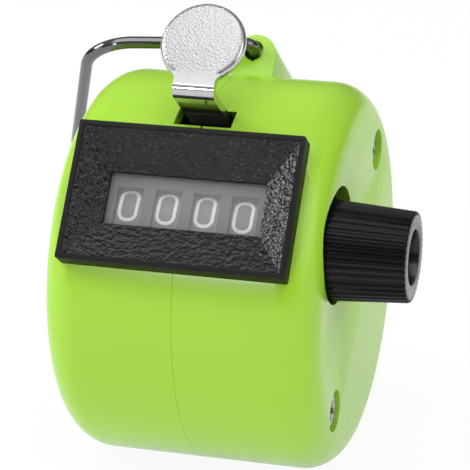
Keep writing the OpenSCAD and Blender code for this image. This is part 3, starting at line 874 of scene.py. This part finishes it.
class TALLY_OT_thumb_lever(bpy.types.Operator):
    """Models the bent thumb lever with its pebbled pad"""

    bl_idname = "tally.thumb_lever"
    bl_label = "Thumb lever"

    inside_y = -22.0 * MM
    bend_y = -27.14 * MM
    bend_radius = 0.95 * MM
    pad_lean = math.radians(3.7)
    pad_up = 5.7 * MM

    def plate(self):
        """The plate with its bend and its leaning neck."""
        s = sizes()
        half_w, half_t, rise = s.lever_width / 2, s.lever_thick / 2, s.lever_rise
        inner_y, steps = -1.0 * MM, 14
        lever = add_block((-half_w, self.bend_y, rise - half_t), (half_w, inner_y, rise + half_t))
        edit_selected(lever, "FACE", lambda c, n: n.y < -FACING)
        bpy.ops.mesh.delete(type="ONLY_FACE")
        leave_edit()
        edit_selected(lever, "EDGE", edge_at(Y, self.bend_y))
        bpy.ops.mesh.spin(steps=steps, angle=QUARTER + self.pad_lean, axis=(1, 0, 0),
                          center=(0, self.bend_y, rise + self.bend_radius))
        extrude(Vector((0, math.sin(self.pad_lean), math.cos(self.pad_lean))) * self.pad_up)
        bpy.ops.mesh.edge_face_add()
        close_mesh(TINY)
        return lever

    def pad_place(self):
        """The pad's frame at the end of the bend, with its face to negative Y and its neck along Z."""
        turn = QUARTER + self.pad_lean
        y = self.bend_y - self.bend_radius * math.sin(turn)
        z = sizes().lever_rise + self.bend_radius - self.bend_radius * math.cos(turn)
        return Matrix.Translation((0, y, z)) @ Matrix.Rotation(-self.pad_lean, 4, "X")

    def fillet(self, side):
        """The hollow corner between the neck and the pad's rim."""
        s = sizes()
        hollow, inset, height, sunk, reach = 1.0 * MM, 0.6 * MM, 1.1 * MM, 0.05 * MM, 2.0 * MM
        half_w, half_t = s.lever_width / 2, s.lever_thick / 2 - sunk
        round_out = s.pad_radius + hollow
        x = half_w + hollow
        z = self.pad_up - math.sqrt(round_out ** 2 - x ** 2)
        left, right = sorted((side * (half_w - inset), side * x * s.pad_radius / round_out))
        corner = add_block((left, -half_t, z), (right, half_t, z + height))
        return cut(corner, add_rod(hollow, (side * x, -reach, z), (side * x, reach, z)))

    def pad(self):
        """The round pad with its rolled rim."""
        s = sizes()
        half_t, rim_round, rim_steps = s.lever_thick / 2, 0.8 * MM, 7
        pad = add_rod(s.pad_radius, (0, half_t, self.pad_up), (0, -half_t, self.pad_up), WIDE_SIDES)
        bevel_edges(pad, edge_at(Y, -half_t), rim_round, rim_steps)
        for side in (-1, 1):
            fuse(pad, self.fillet(side))
        return place(pad, self.pad_place())

    def add_arm(self, lever):
        """The side arm, whose two ears hold the pawl's pin."""
        s = sizes()
        x, y, z = 9.03 * MM, -9.5 * MM, 10.9 * MM
        beside, ahead, behind = 1.4 * MM, 4.0 * MM, 3.0 * MM
        low, high = s.lever_rise - s.lever_thick / 2, s.lever_rise + s.lever_thick / 2
        fuse(lever, add_block((0, y - ahead, low), (x + beside, y + behind, high)))
        thick, half_w, drop = 0.6 * MM, 1.1 * MM, 1.2 * MM
        for left in (x - 0.7 * MM, x + 0.8 * MM):
            fuse(lever, add_block((left, y - half_w, z - drop), (left + thick, y + half_w, s.lever_rise)))
        radius, start, end = 0.62 * MM, x - 2.0 * MM, x + 3.0 * MM
        cut(lever, add_pin(radius, start, end, y, z, SMALL_SIDES))

    def face_numbers(self, lever):
        """Each face's finish: 0 bright, 1 pebbled, 2 darkened inside the case as painted shade."""
        pebbles_facing = -0.75
        to_pad = self.pad_place().inverted()
        turn = to_pad.to_3x3()
        numbers = []
        for face in lever.data.polygons:
            c, n = to_pad @ face.center, turn @ face.normal
            pebbled = n.y < pebbles_facing and c.y < 0 and c.z > 0
            numbers.append(2 if face.center.y > self.inside_y else int(pebbled))
        return numbers

    def execute(self, context):
        lever = fuse(self.plate(), self.pad())
        self.add_arm(lever)
        soften(lever, width=0.14 * MM, segments=3, angle=28.0)
        edit_all(lever)
        bpy.ops.mesh.bisect(plane_co=(0, self.inside_y, 0), plane_no=(0, 1, 0), threshold=TINY)
        leave_edit()
        faces = self.face_numbers(lever)
        place(lever, standing())
        bright = chrome_finish("lever_chrome", colours().chrome, rough=0.14, depth=0.004 * MM)
        # the lever's part inside the case gets steel darkened to a fifth: painted shade for the dark slot
        # under the plate
        painted_shade = worked_metal_finish("lever_inner_painted_shade", scaled(colours().steel, 0.2), rough=0.5)
        finish_piece(lever, "bent_lever", "lever", [bright, pebbled_pad_finish(), painted_shade],
                     ["thumb_lever"], faces=faces)
        return {"FINISHED"}


class TALLY_OT_reset_knob(bpy.types.Operator):
    """Models the ribbed, hollow reset knob"""

    bl_idname = "tally.reset_knob"
    bl_label = "Reset knob"

    def ribbed(self, base_x, end_x):
        """The tapered body; each rib takes four sides, two of them in its groove."""
        s = sizes()
        rib_sides, groove_sides, groove_depth, core = 4, (0, 1), 0.27 * MM, 2.0 * MM
        end_round, end_steps, slip = 0.3 * MM, 3, 0.001
        sides = s.knob_ribs * rib_sides
        knob = add_pin(s.knob_base, base_x, end_x, 0, 0, sides)
        taper = s.knob_end / s.knob_base
        edit_selected(knob, "VERT", lambda p: abs(p.x - end_x) < NEAR)
        bpy.ops.transform.resize(value=(1, taper, taper), center_override=(end_x, 0, 0))
        leave_edit()
        bevel_edges(knob, edge_at(X, end_x), end_round, end_steps)
        step = 2 * math.pi / sides

        def in_groove(p):
            index = round(math.atan2(p.z, p.y) / step - slip)
            return index % rib_sides in groove_sides and math.hypot(p.y, p.z) > core

        edit_selected(knob, "VERT", in_groove)
        deep = 1 - groove_depth / s.knob_base
        bpy.ops.transform.resize(value=(1, deep, deep), center_override=(end_x, 0, 0))
        leave_edit()
        return knob

    def execute(self, context):
        s = sizes()
        face, end_x = s.half_width, s.half_width + s.knob_reach
        flange_radius, flange_thick, flange_gap, flange_overlap = 6.55 * MM, 0.8 * MM, 0.45 * MM, 0.02 * MM
        flange_x = face - s.wall - flange_gap
        base_x = flange_x + flange_thick
        knob = self.ribbed(base_x, end_x)
        fuse(knob, add_pin(flange_radius, flange_x, base_x + flange_overlap, 0, 0, BORE_SIDES))
        hub_radius, hub_start, hub_overlap = 3.0 * MM, 12.7 * MM, 0.3 * MM
        fuse(knob, add_pin(hub_radius, hub_start, flange_x + hub_overlap, 0, 0))
        bore_radius, bore_floor, bore_round, bore_steps = 3.4 * MM, 2.2 * MM, 0.25 * MM, 2
        cut(knob, add_pin(bore_radius, face + bore_floor, end_x + MM, 0, 0, BORE_SIDES))
        shaft_radius, shaft_start, shaft_reach = 1.5 * MM, 12.0 * MM, 1.6 * MM
        cut(knob, add_pin(shaft_radius, shaft_start, face + shaft_reach, 0, 0))
        on_end, bore_edge = edge_at(X, end_x), 3.7 * MM

        def on_bore(a, b):
            return on_end(a, b) and math.hypot(a.y, a.z) < bore_edge

        bevel_edges(knob, on_bore, bore_round, bore_steps)
        faces = []
        for side in knob.data.polygons:
            c = side.center
            in_bore = c.x > face and math.hypot(c.y, c.z) < bore_edge
            faces.append(int(in_bore or (c.x > end_x - NEAR and side.normal.x > FACING)))
        place(knob, standing() @ Matrix.Translation((0, -s.wheel_depth, -s.wheel_drop)))
        black = colours().knob_black
        satin = grained_finish("knob_satin_black", black, rough=0.26, low=0.2, high=0.34,
                               depth=0.012 * MM, scale=3000.0, specular=0.16)
        smooth = grained_finish("knob_smooth_black", black, rough=0.22, low=0.18, high=0.28,
                                depth=0.004 * MM, scale=2000.0)
        finish_piece(knob, "ribbed_knob", "reset", [satin, smooth], ["reset_knob"],
                     smooth=28.0, faces=faces)
        return {"FINISHED"}


class TALLY_OT_finger_ring(bpy.types.Operator):
    """Models the bent wire finger ring"""

    bl_idname = "tally.finger_ring"
    bl_label = "Finger ring"

    def execute(self, context):
        s = sizes()
        sides, steps, hinge, outer, near = 28, 14, 1.8 * MM, 5.8 * MM, 0.005 * MM
        wide, deep = s.ring_width, s.ring_length
        clear_selection()
        bpy.ops.mesh.primitive_circle_add(vertices=sides, radius=s.wire_radius, fill_type="NOTHING",
                                          location=(0, hinge, 0), rotation=(QUARTER, 0, 0))
        ring = settle(bpy.context.object)
        # each straight run of the wire, and the middle of the bend after it
        legs = (
            ((0, deep - 2 * hinge, 0), (-hinge, deep - hinge, 0)),
            ((-(wide - hinge - outer), 0, 0), (-wide + outer, deep - outer, 0)),
            ((0, -(deep - 2 * outer), 0), (-wide + outer, outer, 0)),
            ((wide - hinge - outer, 0, 0), (-hinge, hinge, 0)),
        )
        edit_all(ring)
        for run, centre in legs:
            extrude(run)
            bpy.ops.mesh.spin(steps=steps, angle=-QUARTER, center=centre, axis=(0, 0, 1))
        close_mesh(near)
        place(ring, standing() @ ring_place())
        bright = chrome_finish("wire_chrome", colours().wire, rough=0.1, depth=0.003 * MM)
        finish_piece(ring, "wire_finger_ring", "ring", [bright], ["finger_ring"], smooth=40.0)
        return {"FINISHED"}


class TALLY_OT_inner_works(bpy.types.Operator):
    """Models the return leaf and finishes the solids of the mechanism inside the case"""

    bl_idname = "tally.inner_works"
    bl_label = "Inner works"

    def return_leaf(self, steel):
        """The leaf spring, clipped on a rod, drawn in its resting shape."""
        y, z, clip, thick, half_w = 4.0 * MM, 3.0 * MM, 1.02 * MM, 0.4 * MM, 2.0 * MM
        reach, lean = 11.75 * MM, math.radians(17.7)
        spring = add_pin(clip + thick, -half_w, half_w, y, z)
        leaf = add_block((-half_w, -clip - thick, 0), (half_w, -clip, reach))
        fuse(spring, place(leaf, Matrix.Translation((0, y, z)) @ Matrix.Rotation(lean, 4, "X")))
        cut(spring, add_pin(clip, -2 * half_w, 2 * half_w, y, z))
        place(spring, standing())
        finish_piece(spring, "return_leaf", "case", [steel], ["return_spring"])
        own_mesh(spring)

    def execute(self, context):
        c = colours()
        spring = worked_metal_finish("spring_leaf_steel", scaled(c.steel, 0.8), rough=0.28)
        plate = worked_metal_finish("frame_plate_steel", c.steel, rough=0.36)
        brass = worked_metal_finish("collar_turned_brass", c.brass, rough=0.3)
        natural = matte_print_finish("pinion_natural_plastic", c.pinion)
        self.return_leaf(spring)
        finishes = (
            (plate, ("left_frame", "right_frame", "cross_rods", "pinion_shaft", "wheel_shaft", "pawl_pin")),
            (spring, ("detent_spring", "drive_pawl")),
            (brass, ("shaft_collars",)),
            (natural, ("tens_pinion", "hundreds_pinion", "thousands_pinion")),
        )
        for material, nodes in finishes:
            for node in nodes:
                dress_node(node, material)
        return {"FINISHED"}


class TALLY_OT_stage(bpy.types.Operator):
    """Sets the floor, the light and the camera"""

    bl_idname = "tally.stage"
    bl_label = "Stage"

    # each lamp's place, size and power
    lamps = (
        ("left_softbox", (-0.87, -0.09, 0.52), 0.34, 4.8),
        ("top_softbox", (0.0, -0.3, 0.98), 1.1, 7.2),
        ("front_softbox", (-0.25, -1.0, 0.3), 0.12, 1.3),
        ("low_softbox", (-0.84, -0.52, 0.18), 0.4, 0.6),
        ("right_softbox", (0.9, -0.15, 0.4), 0.6, 1.9),
    )

    def floor(self):
        """A broad pale floor, seen as white, that keeps a soft shadow."""
        white_share = 0.93
        clear_selection()
        bpy.ops.mesh.primitive_plane_add(size=6.0, location=(0, 0, 0))
        floor = bpy.context.object
        floor.name = "floor"
        material, tree, shader, _ = new_finish("floor_pale", colours().floor, rough=0.9)
        path = tree.nodes.new("ShaderNodeLightPath")
        seen = path.outputs["Is Camera Ray"]
        for name in ("Is Glossy Ray", "Is Transmission Ray"):
            seen = add_math(tree, "MAXIMUM", seen, path.outputs[name])
        share = add_math(tree, "MULTIPLY", seen, white_share)
        glow = add_node(tree, "Emission", {"Strength": 1.0}, {})
        mix = add_node(tree, "MixShader", {}, {0: share, 1: shader.outputs[0], 2: glow.outputs[0]})
        tree.links.new(mix.outputs[0], tree.nodes["Material Output"].inputs["Surface"])
        floor.data.materials.append(material)

    def world(self):
        """Soft light from above that fades towards the horizon."""
        horizon, above, high_up = 0.06, 0.46, 0.8
        world = bpy.data.worlds.new("studio_light")
        bpy.context.scene.world = world
        world.use_nodes = True
        tree = world.node_tree
        soft = tree.nodes["Background"]
        soft.inputs["Color"].default_value = (1, 1, 1, 1)
        up = add_height(tree, tree.nodes.new("ShaderNodeTexCoord").outputs["Generated"])
        tree.links.new(add_range(tree, up, horizon, above, 0.0, high_up), soft.inputs["Strength"])

    def lamp(self, name, spot, size, power):
        """A soft square lamp aimed at the counter."""
        aim = Vector((0, 0, 0.03))
        clear_selection()
        bpy.ops.object.light_add(type="AREA", location=spot)
        lamp = bpy.context.object
        lamp.name = name
        lamp.data.energy = power
        lamp.data.size = size
        lamp.rotation_euler = (aim - Vector(spot)).to_track_quat("-Z", "Y").to_euler()

    def camera(self):
        """The camera fitted to the photograph, placed from the drum's middle."""
        spot = Vector((0.075157, -0.257195, 0.092286))
        tilt, turn = math.radians(18.181), math.radians(16.117)
        clear_selection()
        bpy.ops.object.camera_add()
        camera = bpy.context.object
        camera.name = "front_camera"
        camera.location = spot + Vector((0, 0, sizes().stand_height))
        camera.rotation_euler = (QUARTER - tilt, 0, turn)
        camera.data.sensor_width = 36.0
        camera.data.lens = 165.75
        camera.data.clip_start = 0.01
        bpy.context.scene.camera = camera

    def execute(self, context):
        context.scene.view_settings.view_transform = "Standard"
        self.floor()
        self.world()
        for lamp in self.lamps:
            self.lamp(*lamp)
        self.camera()
        return {"FINISHED"}


class TALLY_PT_panel(bpy.types.Panel):
    """Lists the counter's settings and pieces"""

    bl_label = "Tally counter"
    bl_idname = "TALLY_PT_panel"
    bl_space_type = "VIEW_3D"
    bl_region_type = "UI"
    bl_category = "Tally counter"

    def draw(self, context):
        for operator in PIECES:
            self.layout.operator(operator.bl_idname)
        for group in (context.scene.tally_sizes, context.scene.tally_colours):
            for name in group.__annotations__:
                self.layout.prop(group, name)


PIECES = (TALLY_OT_case_halves, TALLY_OT_case_screws, TALLY_OT_bezel, TALLY_OT_window,
          TALLY_OT_number_wheels, TALLY_OT_thumb_lever, TALLY_OT_reset_knob, TALLY_OT_finger_ring,
          TALLY_OT_inner_works, TALLY_OT_stage)
CLASSES = (TallySizes, TallyColours, *PIECES, TALLY_PT_panel)


def register():
    """Registers the classes and their settings."""
    for cls in CLASSES:
        bpy.utils.register_class(cls)
    bpy.types.Scene.tally_sizes = PointerProperty(type=TallySizes)
    bpy.types.Scene.tally_colours = PointerProperty(type=TallyColours)


def unregister():
    """Takes the settings and the classes out again."""
    del bpy.types.Scene.tally_colours
    del bpy.types.Scene.tally_sizes
    for cls in reversed(CLASSES):
        bpy.utils.unregister_class(cls)


def main():
    """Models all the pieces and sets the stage."""
    register()
    bpy.ops.tally.case_halves()
    bpy.ops.tally.case_screws()
    bpy.ops.tally.bezel()
    bpy.ops.tally.window()
    bpy.ops.tally.number_wheels()
    bpy.ops.tally.thumb_lever()
    bpy.ops.tally.reset_knob()
    bpy.ops.tally.finger_ring()
    bpy.ops.tally.inner_works()
    bpy.ops.tally.stage()


if __name__ == "__main__":
    main()
